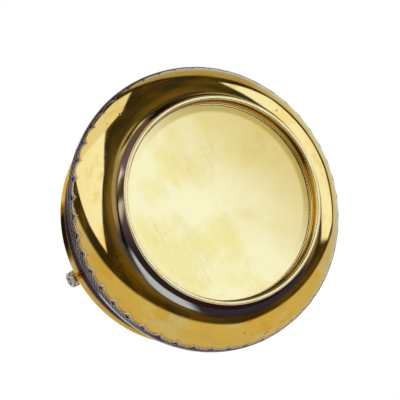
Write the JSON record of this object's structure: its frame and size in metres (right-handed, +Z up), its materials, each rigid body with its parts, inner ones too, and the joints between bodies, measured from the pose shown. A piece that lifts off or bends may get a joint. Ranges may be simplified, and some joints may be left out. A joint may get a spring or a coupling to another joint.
{
  "type": "sweetmeat basket",
  "caption": "Squat round bellied bowl on a foot ring, with an applied border cut in pointed teeth, a rim wire and a flat handle that swings in two lugs.",
  "frame": {"origin": "centre of the foot ring's flat lower face, on the table", "axes": "+Z up, +X through the right lug along the hinge axis, +Y across the handle"},
  "size_m": [0.114, 0.114, 0.0904],
  "materials": {
    "gilt_body": "polished, satin under the foot",
    "gilt_edge": "polished",
    "gilt_handle": "polished",
    "silver_foot": "polished, toned",
    "silver_border": "engraved, darkened",
    "silver_hinge": "worn"
  },
  "bodies": {
    "basket": {"bowl": "gilt_body", "foot_ring": "silver_foot", "foot_rim_wire": "gilt_edge", "ornament_band": "silver_border", "rim_wire": "gilt_edge", "lug_left": "silver_hinge", "lug_right": "silver_hinge", "hinge_pin_left": "silver_hinge", "hinge_pin_right": "silver_hinge"},
    "handle": {"bail_handle": "gilt_handle"}
  },
  "joints": [
    {"name": "handle_swing", "type": "hinge", "parent": "basket", "child": "handle", "pos_m": [0, 0, 0.0467], "axis": [1, 0, 0], "range_deg": [-68, 68]}
  ]
}
